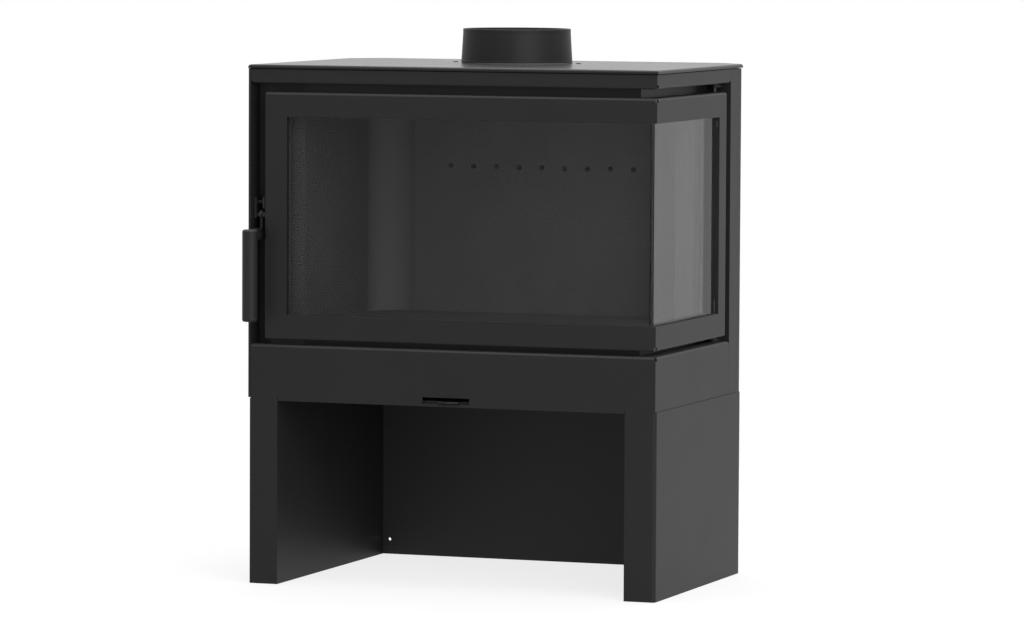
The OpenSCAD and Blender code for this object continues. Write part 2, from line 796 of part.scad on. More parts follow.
module firebox_supports() color(dark)
  for (x = support_xs)
    translate([x, support_y0, z_case0 + floor_t]) difference() {
      cube([support_w, support_y1 - support_y0, fb_z0 - z_case0 - floor_t]);
      translate([support_wall, -1, -1])
        cube([support_w - 2 * support_wall, support_y1 - support_y0 + 2,
          fb_z0 - z_case0 - floor_t - support_wall + 1]);
    }

module lining_left() color(board)
  slab(floor_z1, lining_z1) translate([fb_in_x0 + gap, fb_y0 + gap])
    square([lining_t - gap, arc_y - fb_y0 - gap]);

module lining_corner() color(board)
  slab(floor_z1, lining_z1) difference() {
    intersection() {
      firebox_plan(gap, fb_y0);
      translate([fb_in_x0, arc_y + gap]) square([arc_x - gap - fb_in_x0, fb_y1]);
    }
    translate([arc_x, arc_y]) circle(lining_r, $fn = 128);
  }

module lining_back() color(board)
  difference() {
    slab(floor_z1, lining_z1) intersection() {
      firebox_plan(gap, fb_y0);
      translate([arc_x, lining_y]) square([fb_x1 - arc_x, lining_t]);
    }
    air_holes(lining_y - 1, fb_y1);
  }

module lining_right() color(board)
  slab(floor_z1, lining_z1) intersection() {
    firebox_plan(gap, fb_y0);
    translate([right_lining_x, open_y1 + gap])
      square([fb_frame_x - gap - right_lining_x, lining_y - open_y1 - 2 * gap]);
  }

module lining_floor() color(board)
  difference() {
    slab(floor_z1, floor_lining_z1) difference() {
      translate([lining_x + gap, fb_y0 + gap])
        square([fb_frame_x - lining_x - 2 * gap, lining_y - fb_y0 - 2 * gap]);
      translate([right_lining_x - gap, open_y1]) square([far, fb_y1]);
      difference() {
        translate([lining_x - 1, arc_y]) square([lining_r + 1, lining_r + 1]);
        translate([arc_x, arc_y]) circle(lining_r - gap, $fn = 128);
      }
    }
    floor_window(floor_z1 - 1, floor_lining_z1 + 1);
  }

module baffle_plate() color(board)
  slab(lining_z1, lining_z1 + baffle_t) intersection() {
    firebox_plan(gap, baffle_y);
    translate([fb_in_x0, baffle_y]) square([baffle_x1 - fb_in_x0, fb_y1]);
  }

module baffle_support() color(dark) {
  y0 = baffle_y + 2;
  l = open_y1 - 4 - y0;
  x1 = fb_frame_x;
  translate([x1 - support_foot, y0, lining_z1 - support_t]) cube([support_foot, l, support_t]);
  translate([x1 - support_t, y0, lining_z1 - support_t]) cube([support_t, l, support_up]);
}

module secondary_air_duct() color(dark)
  difference() {
    translate([air_x - sec_half, fb_y1, sec_z0]) cube([2 * sec_half, sec_d, sec_z1 - sec_z0]);
    translate([air_x - sec_half + duct_t, fb_y1 - 1, sec_z0 - 1])
      cube([2 * (sec_half - duct_t), sec_d - duct_t + 1, sec_z1 - sec_z0 - duct_t + 1]);
  }

module primary_air_duct() color(dark)
  slab(duct_z0, fb_z0) difference() {
    translate([tab_x - duct_half, duct_y0]) square([2 * duct_half, duct_y1 - duct_y0]);
    translate([tab_x - duct_half + duct_t, duct_y0 + duct_t])
      square([2 * (duct_half - duct_t), duct_y1 - duct_y0 - 2 * duct_t]);
  }

module air_slider() color(dark)
  difference() {
    slab(slider_z0, slider_z0 + slider_t) {
      translate([tab_x - slider_half, slider_y0]) square([2 * slider_half, slider_y1 - slider_y0]);
      translate([tab_x, 0]) polygon([
        [-tab_w / 2, slider_y0 + eps], [-tab_w / 2, -tab_l / 3], [-tab_w / 6, -tab_l * 0.8],
        [-1, -tab_l], [1, -tab_l], [tab_w / 6, -tab_l * 0.8], [tab_w / 2, -tab_l / 3],
        [tab_w / 2, slider_y0 + eps]
      ]);
    }
    window_cuts(slider_z0 - 1, slider_z0 + slider_t + 1);
  }

module guide_rail(x0, x1, y_edge, side) {
  z0 = z_case0 + floor_t;
  z1 = slider_z0 + slider_t + 0.2;
  foot = side > 0 ? y_edge + gap : y_edge - gap - 2;
  foot_w = side > 0 ? guide_t : 2;
  lip = side > 0 ? y_edge - guide_lip_w : foot;
  translate([x0, foot, z0]) cube([x1 - x0, foot_w, z1 + guide_lip_t - z0]);
  translate([x0, lip, z1]) cube([x1 - x0, guide_lip_w + gap + foot_w, guide_lip_t]);
}

module slider_guide() color(dark) {
  side_l = 32;
  x0 = slot_x - slot_w / 2;
  x1 = slot_x + slot_w / 2;
  guide_rail(tab_x - slider_half, tab_x + slider_half, slider_y1, 1);
  guide_rail(x0 - 2 - side_l, x0 - 2, slider_y0, -1);
  guide_rail(x1 + 2, x1 + 2 + side_l, slider_y0, -1);
}

module hinge_hole(r, z0, z1) translate([hinge_x, hinge_y, z0]) cylinder(r = r, h = z1 - z0);

module hinge_lug(z0)
  difference() {
    union() {
      hinge_hole(lug_r, z0, z0 + lug_t);
      translate([hinge_x - lug_r, hinge_y, z0]) cube([2 * lug_r, y_pillar0 - hinge_y, lug_t]);
    }
    hinge_hole(pin_r + run_fit, z0 - 1, z0 + lug_t + 1);
  }

module upper_hinge_lug() color(paint) hinge_lug(upper_lug_z);
module lower_hinge_lug() color(paint) hinge_lug(lower_lug_z);

module upper_hinge_pin() color(steel) {
  z_head = upper_lug_z + lug_t;
  hinge_hole(pin_r, z_door1 - sheet_t - pin_in + pin_short, z_head + eps);
  hinge_hole(pin_head_r, z_head, z_head + pin_head_h);
}

module lower_hinge_pin() color(steel) {
  hinge_hole(pin_r, lower_lug_z, z_door0 + sheet_t + pin_in - pin_short);
  hinge_hole(pin_head_r, lower_lug_z + lug_t, z_door0 - gap);
}

module latch_keeper() color(dark)
  difference() {
    union() {
      translate([keeper_x0, keeper_front, pivot_z - keeper_left_drop])
        cube([keeper_left_t, front_set - keeper_front, keeper_up + keeper_top + keeper_left_drop]);
      translate([keeper_right_x, keeper_front, pivot_z + keeper_right_up])
        cube([keeper_right_t, front_set - keeper_front, keeper_up + keeper_top - keeper_right_up]);
    }
    translate([keeper_x0 - 1, keeper_y, keeper_z]) rotate([0, 90, 0])
      cylinder(r = keeper_pin_r + run_fit, h = keeper_right_x + keeper_right_t - keeper_x0 + 2);
  }

module keeper_pin() color(steel)
  translate([x_trim0, keeper_y, keeper_z]) rotate([0, 90, 0])
    cylinder(r = keeper_pin_r, h = keeper_right_x + keeper_right_t + 0.5 - x_trim0);

module pivot_bore(r, x0, x1)
  translate([x0, pivot_y, pivot_z]) rotate([0, 90, 0]) cylinder(r = r, h = x1 - x0);

module door_frame() color(paint)
  difference() {
    soft_edges(z_door0, z_door1, fold_r, fold_r) {
      door_ring(0, rail_w, 0, 0, sheet_t, sheet_t);
      door_ring(0, sheet_t, 0, 0, door_t, door_t);
      door_ring(rail_w - sheet_t, rail_w, 0, 0, lip_d, lip_d);
    }
    round_post(gap_left, 0, fold_r, 0);
    round_post(body_w, y_door1, fold_r, 180);
    for (m = [0, 1]) {
      z = m == 0 ? z_door0 : z_door1;
      along_y(-1, door_t + 1) translate([gap_left, z]) mirror([0, m]) round_off(end_r - 1);
      along_x(body_w - door_t - 1, body_w + 1) translate([y_door1, z]) mirror([0, m]) mirror([1, 0])
        round_off(end_r - 1);
    }
    relief_notch(z_door1 - relief_h + eps);
    relief_notch(z_door0 - eps);
    hinge_hole(pin_r + bolt_fit, z_door0 - 1, z_door0 + sheet_t + 1);
    hinge_hole(pin_r + bolt_fit, z_door1 - sheet_t - 1, z_door1 + 1);
    pivot_bore(pivot_r + run_fit, gap_left - 1, gap_left + sheet_t + 1);
    for (s = rear_slits)
      translate([body_w - s[0] - s[1] / 2, y_door1 - rail_w - 1, s[2] - s[3] / 2])
        cube([s[1], sheet_t + 2, s[3]]);
  }

// One child at each fixing point of the glass retainer, with +Z pointing into the stove
module at_retainer_points() {
  z_low = z_door0 + standoff_in;
  z_high = z_door1 - standoff_in;
  for (x = front_xs, z = [z_low, z_high]) translate([x, 0, z]) rotate([-90, 0, 0]) children();
  for (z = stile_zs) translate([gap_left + standoff_in, 0, z]) rotate([-90, 0, 0]) children();
  for (y = side_ys, z = [z_low, z_high]) translate([body_w, y, z]) rotate([0, -90, 0]) children();
  for (z = stile_zs) translate([body_w, y_door1 - standoff_in, z]) rotate([0, -90, 0]) children();
}

module block_space(grow) {
  h = pin_in + grow;
  for (z = [z_door0 + sheet_t, z_door1 - sheet_t - h])
    translate([hinge_x - block_half - grow, block_y0 - grow, z])
      cube([2 * (block_half + grow), y_door1 - block_y0 + grow, h]);
}

module glass_retainer() color(dark)
  difference() {
    union() {
      door_ring(retainer_in, retainer_out, retainer_d0, retainer_d0, retainer_d1, retainer_d1);
      door_ring(rope_in - channel_t, rope_in, retainer_d0, retainer_d0, door_t, door_t);
      door_ring(rope_out, rope_out + channel_t, retainer_d0, retainer_d0, door_t, door_t);
    }
    block_space(block_fit);
    at_retainer_points() cylinder(r = door_screw_r + screw_fit, h = door_t);
    translate([gap_left, retainer_d0 - 1, pivot_z - washer_r - nut_clear])
      cube([sheet_t + nut_t + nut_clear, door_t, 2 * (washer_r + nut_clear)]);
  }

module retainer_standoffs() color(dark)
  at_retainer_points() difference() {
    translate([0, 0, sheet_t]) cylinder(r = standoff_r, h = retainer_d0 - sheet_t);
    translate([0, 0, retainer_d0 - standoff_bore])
      cylinder(r = door_screw_r + screw_fit, h = standoff_bore + 1);
  }

module retainer_screws() color(steel)
  at_retainer_points() difference() {
    union() {
      translate([0, 0, retainer_d0 - standoff_bore + 1])
        cylinder(r = door_screw_r, h = retainer_d1 - retainer_d0 + standoff_bore - 1 + eps);
      translate([0, 0, retainer_d1]) cylinder(r = door_head_r, h = door_head_h);
    }
    small_socket(retainer_d1 + door_head_h);
  }

module front_glass() color(pane) {
  x0 = gap_left + rail_w - glass_lap;
  z0 = z_door0 + rail_w - glass_lap;
  z1 = z_door1 - rail_w + glass_lap;
  x1 = body_w - glass_d0;
  slab(z0, z1) polygon([
    [x0, glass_d0], [x1 - glass_bevel, glass_d0], [x1, glass_d1], [x0, glass_d1]
  ]);
}

module side_glass() color(pane) {
  z0 = z_door0 + rail_w - glass_lap;
  z1 = z_door1 - rail_w + glass_lap;
  x0 = body_w - glass_d1;
  x1 = body_w - glass_d0;
  y0 = glass_d1 + gap;
  y1 = y_door1 - rail_w + glass_lap;
  slab(z0, z1) polygon([
    [x0, y0], [x1 - glass_bevel, y0], [x1, y0 + side_bevel_l], [x1, y1], [x0, y1]
  ]);
}

module glass_tape() color(dark)
  door_ring(rail_w - glass_lap + 1, rail_w - rope_play, lip_d, lip_d, glass_d0, glass_d0);

module door_rope_seal() color(rope)
  door_ring(rope_in + rope_play, rope_out - rope_play, rope_d0, rope_d0, front_set - gap, side_set - gap);

module hinge_block(z0)
  difference() {
    translate([hinge_x - block_half, block_y0, z0]) cube([2 * block_half, block_y1 - block_y0, pin_in]);
    hinge_hole(pin_r + run_fit, z0 - 1, z0 + pin_in + 1);
  }

module upper_hinge_block() color(dark) hinge_block(z_door1 - sheet_t - pin_in);
module lower_hinge_block() color(dark) hinge_block(z_door0 + sheet_t);

module latch_pivot() color(dark) {
  x_nut = gap_left + sheet_t;
  pivot_bore(pivot_r, lever_x0 - pivot_tail, x_nut + nut_t);
  pivot_bore(washer_r, lever_x0 - gap - washer_t, lever_x0 - gap);
  pivot_bore(washer_r, lever_x1 + gap, gap_left);
  pivot_bore(washer_r, x_nut, x_nut + nut_t);
}

module handle_lever() color(dark)
  difference() {
    along_x(lever_x0, lever_x1) {
      z_arm = grip_z1 - arm_h;
      translate([pivot_y, pivot_z]) circle(eye_r);
      translate([pivot_y - strut_front, z_arm]) square([strut_front + eye_r, pivot_z - z_arm]);
      translate([grip_y - arm_deep, z_arm]) square([pivot_y + eye_r - grip_y + arm_deep, arm_h]);
      translate([pivot_y, pivot_z]) polygon([
        [0, -eye_r], [hook_y0 + 2.1, -eye_r], [hook_y0 + hook_t, -eye_r / 2],
        [hook_y0 + hook_t, hook_top - 3], [hook_y0 + hook_t - 1.9, hook_top], [hook_y0, hook_top],
        [hook_y0, hook_top - 16], [0, eye_r]
      ]);
    }
    pivot_bore(pivot_r + run_fit, lever_x0 - 1, lever_x1 + 1);
  }

module handle_grip() color(dark)
  difference() {
    translate([grip_x, grip_y, grip_z0]) rotate_extrude() {
      square([grip_r - grip_round, grip_l]);
      translate([0, grip_round]) square([grip_r, grip_l - 2 * grip_round]);
      for (z = [grip_round, grip_l - grip_round])
        translate([grip_r - grip_round, z]) circle(grip_round, $fn = 48);
    }
    translate([lever_x0 - arm_fit, grip_y - arm_deep - arm_fit, grip_z1 - arm_h - arm_fit])
      cube([lever_t + 2 * arm_fit, 2 * grip_r, arm_h + 1]);
  }

place() {
  stand_left_leg();
  stand_right_leg();
  stand_back_panel();
  stand_bolts();
  casing_floor();
  lower_panel();
  fascia_band();
  right_pillar();
  left_side_panel();
  rear_casing();
  rear_spacers();
  rear_screws();
  top_plate();
  top_spacers();
  top_screws();
  flue_collar();
  flue_gasket();
  flue_outlet_tube();
  firebox_left_wall();
  firebox_back_wall();
  firebox_floor();
  firebox_roof();
  firebox_left_stile();
  latch_strip();
  stile_infill();
  firebox_rear_stile();
  firebox_top_rail();
  firebox_bottom_rail();
  firebox_supports();
  lining_left();
  lining_corner();
  lining_back();
  lining_right();
  lining_floor();
  baffle_plate();
  baffle_support();
  secondary_air_duct();
  primary_air_duct();
  air_slider();
  slider_guide();
  upper_hinge_lug();
  lower_hinge_lug();
  upper_hinge_pin();
  lower_hinge_pin();
  latch_keeper();
  keeper_pin();
  door_frame();
  glass_retainer();
  retainer_standoffs();
  retainer_screws();
  front_glass();
  side_glass();
  glass_tape();
  door_rope_seal();
  upper_hinge_block();
  lower_hinge_block();
  latch_pivot();
  handle_lever();
  handle_grip();
}
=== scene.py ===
"""Corner fireplace stove: looks, floor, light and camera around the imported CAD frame."""
import math

import bpy
from mathutils import Matrix, Vector

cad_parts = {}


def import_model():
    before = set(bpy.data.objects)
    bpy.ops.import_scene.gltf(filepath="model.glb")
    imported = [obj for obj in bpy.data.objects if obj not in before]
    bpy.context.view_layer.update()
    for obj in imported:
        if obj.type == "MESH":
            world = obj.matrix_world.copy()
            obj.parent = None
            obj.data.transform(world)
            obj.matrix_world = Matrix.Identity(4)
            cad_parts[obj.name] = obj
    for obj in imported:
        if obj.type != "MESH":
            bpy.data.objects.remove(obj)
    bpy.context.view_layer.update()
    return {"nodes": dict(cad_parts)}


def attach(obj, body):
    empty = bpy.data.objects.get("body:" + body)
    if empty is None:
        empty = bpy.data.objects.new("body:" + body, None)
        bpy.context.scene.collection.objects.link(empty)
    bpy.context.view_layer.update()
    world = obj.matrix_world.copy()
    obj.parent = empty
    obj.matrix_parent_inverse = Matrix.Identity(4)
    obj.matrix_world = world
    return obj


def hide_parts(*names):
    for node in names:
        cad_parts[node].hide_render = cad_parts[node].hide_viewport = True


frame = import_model()
NODES = frame["nodes"]

# ---------------------------------------------------------------- sizes, in the stove's own millimetres
ORIGIN = Vector((290.0, 179.5, 0.0))  # the row frame's origin, under the middle of the stove
ROPE_FRONT = (41.6, 23.75)  # x of the left run, y of the runs behind the front glass
ROPE_SIDE = (555.25, 278.0)  # x of the runs behind the side glass, y of the rear run
ROPE_Z = (354.0, 646.0)  # bottom and top runs
ROPE_BEND = 5.0
ROPE_HALF_WIDTH = 5.7
ROPE_HALF_DEPTH = 6.75
ROPE_SIDE_SWELL = 0.95  # the side's channel is this much deeper
ROPE_LUMPS = 0.10  # share of the rope's thickness that the braid takes away between its strands
BRAID_STRANDS = 8
BRAID_PITCH = 9.0
BRAID_UNDER = 0.55  # height of a strand where it passes under another

# ---------------------------------------------------------------- textures
# noises: scale per metre, detail, roughness
PAINT_CLOUDS = (9.0, 4.0, 0.6)
PAINT_SPRAY = (1500.0, 3.0, 0.6)
BOARD_MOTTLE = (14.0, 5.0, 0.65)
BOARD_GRAINS = (600.0, 4.0, 0.7)
GLASS_SMEARS = (26.0, 5.0, 0.6)
TAPE_FIBRES = (1800.0, 4.0, 0.7)
ROPE_HAIRS = (2600.0, 5.0, 0.75)
ROPE_SOIL = (30.0, 3.0, 0.6)
NOISE_LOW, NOISE_HIGH = 0.3, 0.7  # most of a noise lies between these
BOARD_FLAKES = 420.0  # per metre
TAPE_CELL = 0.0012  # one stitch of the woven tape, in metres
# how deep each relief is, in metres
SPRAY_RELIEF = 0.00005
BOARD_RELIEF = 0.0001
FIBRE_RELIEF = 0.0002
WEAVE_RELIEF = 0.0004
HAIR_RELIEF = 0.0003

# ---------------------------------------------------------------- tones and shines that materials share
PAINT_TONE = 0.0126
INNER_TONE = 0.0130
PAINT_GLOSS = 0.148
INNER_GLOSS = 0.2
# a lighter tone on upward faces: a painted highlight
UPWARD_PAINTED_HIGHLIGHT = 0.024
PAINT_PATCHY = 0.015  # how far the roughness strays from its mean
SMALL_EDGE = 0.0004  # softened edge of small pieces, in metres
GLASS_IOR = 1.18
GLASS_CLEARNESS = 0.89  # what each face of a pane lets through to light what is behind it

# where a paint gets its painted light, a lighter tone: texture coordinate, its axis, its value at none of
# it, its value at all of it
FACING_UP = ("Normal", "Z", 0.1, 0.6)
FACING_FRONT = ("Normal", "Y", -0.3, -0.9)
BELOW_TOP_RAIL = ("Object", "Z", 0.660, 0.650)
LEFT_END = ("Object", "X", -0.19, -0.21)

# ---------------------------------------------------------------- floor, light and camera, in metres
FLOOR_HALF = 120.0
FLOOR_DROP = 0.0005
FLOOR_WHITE = 0.8  # share of plain white near the stove; the rest is lit floor, which holds the shadow
FLOOR_FADE = (0.7, 2.2)  # distance from the stove at which that share grows, and at which it is whole
FLOOR_GLOW = 0.5  # share of plain white in the light that the floor sends back
SKY = 0.4  # strength of the white world as a light
LAMPS = (  # name, width, depth, place, turn in degrees from straight down, brightness of its face
    ("lamp_above", 1.9, 3.4, (0.0, 0.4, 2.6), (0, 0, 0), 3.5),
    ("lamp_key", 3.2, 3.2, (2.9, -3.0, 1.9), (71, 0, 44), 3.9),
)
# the camera is fitted to the photograph's straight edges
CAMERA_PLACE = (2.6546, -7.1918, 0.9168)
CAMERA_YAW, CAMERA_PITCH, CAMERA_ROLL = (math.radians(a) for a in (20.103, 4.107, 0.289))
CAMERA_FAR = 500.0
FOCAL_PX, PHOTO_WIDTH_PX = 5626.4, 1024.0
SENSOR_MM = 36.0


def row(x, y, z):
    """A point given in the stove's millimetres, in the row frame's metres."""
    return (Vector((x, y, z)) - ORIGIN) / 1000.0


# ---------------------------------------------------------------- node helpers
def add(tree, kind, feeds=None, **settings):
    """A new node: first its settings, then its inputs, each linked from a socket or set to a value."""
    node = tree.nodes.new("ShaderNode" + kind)
    for key, value in settings.items():
        setattr(node, key, value)
    for key, value in (feeds or {}).items():
        if isinstance(value, bpy.types.NodeSocket):
            tree.links.new(value, node.inputs[key])
        else:
            node.inputs[key].default_value = value
    return node


def new_material(name):
    """A material with an empty tree, and the socket that takes its surface shader."""
    mat = bpy.data.materials.new(name)
    mat.use_nodes = True
    mat.node_tree.nodes.clear()
    out = add(mat.node_tree, "OutputMaterial")
    return mat, mat.node_tree, out.inputs["Surface"]


def principled(tree, surface, feeds):
    shader = add(tree, "BsdfPrincipled", feeds)
    tree.links.new(shader.outputs["BSDF"], surface)


def object_coords(tree, scale=(1, 1, 1)):
    coord = add(tree, "TexCoord").outputs["Object"]
    return add(tree, "Mapping", {"Scale": scale, "Vector": coord}).outputs["Vector"]


def along(tree, kind, axis):
    """One axis of a texture coordinate."""
    coord = add(tree, "TexCoord").outputs[kind]
    return add(tree, "SeparateXYZ", {"Vector": coord}).outputs[axis]


def noise(tree, at, texture):
    scale, detail, rough = texture
    feeds = {"Scale": scale, "Detail": detail, "Roughness": rough, "Vector": at}
    return add(tree, "TexNoise", feeds).outputs["Fac"]


def maths(tree, operation, a, b):
    return add(tree, "Math", {0: a, 1: b}, operation=operation).outputs[0]


def any_of(tree, *rays):
    total = rays[0]
    for ray in rays[1:]:
        total = maths(tree, "MAXIMUM", total, ray)
    return total


def spread(tree, value, low, high, from_low=NOISE_LOW, from_high=NOISE_HIGH):
    """The value stretched from one range to another and held at its ends."""
    feeds = {"From Min": from_low, "From Max": from_high, "To Min": low, "To Max": high, "Value": value}
    return add(tree, "MapRange", feeds).outputs["Result"]


def two_tone(tree, value, dark, light):
    """A noise as a colour between dark and light."""
    node = add(tree, "ValToRGB", {"Fac": value})
    first, last = node.color_ramp.elements
    first.position, first.color = NOISE_LOW, (*dark, 1)
    last.position, last.color = NOISE_HIGH, (*light, 1)
    return node.outputs["Color"]


def colour_mix(tree, factor, a, b, blend="MIX"):
    feeds = {"Factor": factor, "A": a, "B": b}
    return add(tree, "Mix", feeds, data_type="RGBA", blend_type=blend).outputs["Result"]


def shader_mix(tree, factor, a, b, surface):
    mix = add(tree, "MixShader", {"Fac": factor, 1: a.outputs[0], 2: b.outputs[0]})
    tree.links.new(mix.outputs["Shader"], surface)


def tinted(tone, red, green, blue):
    return tone * red, tone * green, tone * blue


def bump(tree, height, strength, distance, normal=None, invert=False):
    feeds = {"Height": height, "Strength": strength, "Distance": distance}
    if normal is not None:
        feeds["Normal"] = normal
    return add(tree, "Bump", feeds, invert=invert).outputs["Normal"]


def soft_edge(tree, radius):
    return add(tree, "Bevel", {"Radius": radius}, samples=4).outputs["Normal"]


def background_rays(tree):
    """1 for the rays that look straight at the white background, mirror it or pass glass to it."""
    path = add(tree, "LightPath").outputs
    return any_of(tree, path["Is Camera Ray"], path["Is Glossy Ray"], path["Is Transmission Ray"])


# ---------------------------------------------------------------- materials
def paint(name, tone, rough, gloss, grain=0.12, edge=0.0006, painted_light=0.0, where_painted=FACING_UP):
    """Sprayed heat-proof paint: fine grain, cloudy tone and shine, and in the masked places a lighter tone
    that is painted light: highlights on upward faces, fill in shade.
    """
    mat, tree, surface = new_material(name)
    at = object_coords(tree)
    cloud = noise(tree, at, PAINT_CLOUDS)
    spray = noise(tree, at, PAINT_SPRAY)
    coat = two_tone(tree, cloud, tinted(tone, 0.95, 0.95, 0.95), tinted(tone, 1.05, 1.05, 1.056))
    # painted light: a lighter tone in the masked places stands in for highlights and fill light
    if painted_light > 0:
        kind, axis, none, full = where_painted
        share = spread(tree, along(tree, kind, axis), 0.0, 1.0, none, full)
        coat = colour_mix(tree, share, coat, (tone + painted_light, tone + painted_light, tone + 0.98 * painted_light, 1))
    principled(tree, surface, {
        "Base Color": coat,
        "Roughness": spread(tree, cloud, rough - PAINT_PATCHY, rough + PAINT_PATCHY),
        "Specular IOR Level": gloss,
        "Normal": bump(tree, spray, grain, SPRAY_RELIEF, soft_edge(tree, edge)),
    })
    return mat


def lining(name, tone, corner_highlight=0.0):
    """Dark pressed vermiculite board: flakes, pits and a slight mottle.

    The last argument lightens the middle of the curved corner, where the face turns from the side to the
    front: a painted highlight, where light falls on the curve.
    """
    mat, tree, surface = new_material(name)
    at = object_coords(tree)
    flakes = add(tree, "TexVoronoi", {"Scale": BOARD_FLAKES, "Vector": at}).outputs["Color"]
    mottle = noise(tree, at, BOARD_MOTTLE)
    grains = noise(tree, at, BOARD_GRAINS)
    face = two_tone(tree, mottle, tinted(tone, 0.93, 0.93, 0.92), tinted(tone, 1.07, 1.06, 1.04))
    flecks = spread(tree, flakes, 0.0, 0.35, 0.82, 0.98)
    face = colour_mix(tree, flecks, face, (*tinted(tone, 1.5, 1.48, 1.4), 1))
    # painted highlight: lighter where the corner's face turns halfway from the side to the front
    if corner_highlight > 0:
        turning = maths(tree, "MULTIPLY", along(tree, "Normal", "X"), along(tree, "Normal", "Y"))
        share = spread(tree, turning, 0.0, 1.0, 0.0, -0.5)
        face = colour_mix(tree, share, face, (tone + corner_highlight, tone + corner_highlight, tone + 0.97 * corner_highlight, 1))
    principled(tree, surface, {
        "Base Color": face,
        "Roughness": spread(tree, grains, 0.75, 0.95),
        "Specular IOR Level": 0.2,
        "Normal": bump(tree, grains, 0.15, BOARD_RELIEF),
    })
    return mat


def glass(name):
    """Clear ceramic fire glass with a slight grey tint, thin smears and its own gloss.

    Light passes it straight on its way to what is behind it, also when a face there mirrors that
    light. A ray that the glass itself refracts or mirrors inside the pane stays glass.
    """
    mat, tree, surface = new_material(name)
    smears = noise(tree, object_coords(tree, (1, 1, 0.35)), GLASS_SMEARS)
    pane = add(tree, "BsdfPrincipled", {
        "Base Color": two_tone(tree, smears, (0.74, 0.745, 0.74), (0.79, 0.795, 0.79)),
        "Roughness": spread(tree, smears, 0.0, 0.02, 0.45, 0.8),
        "IOR": GLASS_IOR,
        "Transmission Weight": 1.0,
    })
    clear = add(tree, "BsdfTransparent", {"Color": (GLASS_CLEARNESS, GLASS_CLEARNESS, GLASS_CLEARNESS, 1)})
    path = add(tree, "LightPath").outputs
    backfacing = add(tree, "NewGeometry").outputs["Backfacing"]
    refracted = maths(tree, "LESS_THAN", path["Transparent Depth"], 0.5)
    inside = maths(tree, "MULTIPLY", refracted, backfacing)
    held = maths(tree, "MAXIMUM", inside, path["Is Transmission Ray"])
    mirrored = maths(tree, "GREATER_THAN", path["Is Glossy Ray"], held)
    passing = any_of(tree, mirrored, path["Is Shadow Ray"], path["Is Diffuse Ray"])
    shader_mix(tree, passing, pane, clear, surface)
    return mat


def woven(name, dark, light):
    """Flat woven glass-fibre tape or pressed fibre ring."""
    mat, tree, surface = new_material(name)
    at = object_coords(tree)
    weave = add(tree, "TexBrick", {
        "Scale": 1.0,
        "Brick Width": TAPE_CELL * 1.6,
        "Row Height": TAPE_CELL,
        "Mortar Size": TAPE_CELL * 0.22,
        "Mortar Smooth": 0.7,
        "Vector": at,
    })
    fibres = noise(tree, at, TAPE_FIBRES)
    fuzz = bump(tree, fibres, 0.6, FIBRE_RELIEF)
    principled(tree, surface, {
        "Base Color": two_tone(tree, fibres, dark, light),
        "Roughness": spread(tree, fibres, 0.85, 1.0),
        "Specular IOR Level": 0.1,
        "Normal": bump(tree, weave.outputs["Fac"], 0.7, WEAVE_RELIEF, fuzz, invert=True),
    })
    return mat


def yarn(name):
    """Knitted glass-fibre rope: each hair a little lighter or darker than the next."""
    mat, tree, surface = new_material(name)
    at = object_coords(tree)
    hairs = noise(tree, at, ROPE_HAIRS)
    soil = two_tone(tree, noise(tree, at, ROPE_SOIL), (0.5, 0.5, 0.5), (1, 1, 1))
    tone = two_tone(tree, hairs, (0.035, 0.035, 0.036), (0.10, 0.098, 0.095))
    principled(tree, surface, {
        "Base Color": colour_mix(tree, 0.5, tone, soil, "MULTIPLY"),
        "Roughness": spread(tree, hairs, 0.8, 1.0),
        "Specular IOR Level": 0.1,
        "Normal": bump(tree, hairs, 0.8, HAIR_RELIEF),
    })
    return mat


# each paint: name, tone, roughness, gloss, then grain, edge and painted light where they differ
# upward faces and rolled top edges get a painted highlight
OUTER = paint("outer_paint", PAINT_TONE, 0.45, PAINT_GLOSS, painted_light=UPWARD_PAINTED_HIGHLIGHT)
# the top plate faces up, so all of it gets that painted highlight
TOP = paint("top_paint", PAINT_TONE, 0.26, 0.085, painted_light=UPWARD_PAINTED_HIGHLIGHT)
# the bay's back panel is painted lighter where it faces the front: painted fill light in its shade
BAY_FILL_LIT = paint("bay_paint_painted_fill", PAINT_TONE, 0.45, PAINT_GLOSS, painted_light=0.0105, where_painted=FACING_FRONT)
COLLAR = paint("collar_paint", 0.0145, 0.49, PAINT_GLOSS, 0.2, SMALL_EDGE)
# the grip's upward faces are painted lighter: a painted highlight
HANDLE = paint("handle_paint", 0.0140, 0.43, PAINT_GLOSS, 0.08, SMALL_EDGE, painted_light=0.03)
INNER = paint("inner_paint", INNER_TONE, 0.50, INNER_GLOSS, 0.2)
# the stile is painted lighter below the door's top rail and left dark in the gap above it: painted light
# and painted shade
STILE_LIGHT_AND_SHADE = paint("burnt_paint", INNER_TONE, 0.60, INNER_GLOSS, 0.1, painted_light=0.028, where_painted=BELOW_TOP_RAIL)
# the retainer is painted lighter at its left end: a painted highlight along the glass's left edge
RETAINER = paint("retainer_paint", INNER_TONE, 0.55, INNER_GLOSS, 0.1, painted_light=0.035, where_painted=LEFT_END)
BLACK_STEEL = paint("blackened_steel", 0.012, 0.34, 0.3, 0.05, 0.0003)
BOARD = lining("lining_board", 0.087)
# a darker copy of the same board for the side linings: painted shade
BOARD_SHADED = lining("lining_board_shaded", 0.050)
# the corner board carries a painted highlight across its bend
BOARD_BENT = lining("lining_board_bent", 0.068, corner_highlight=0.034)
GLASS = glass("door_glass")
TAPE = woven("gasket", (0.018, 0.018, 0.018), (0.035, 0.035, 0.034))
FIBRE = woven("fibre_gasket", (0.17, 0.17, 0.168), (0.21, 0.21, 0.205))
ROPE = yarn("rope")

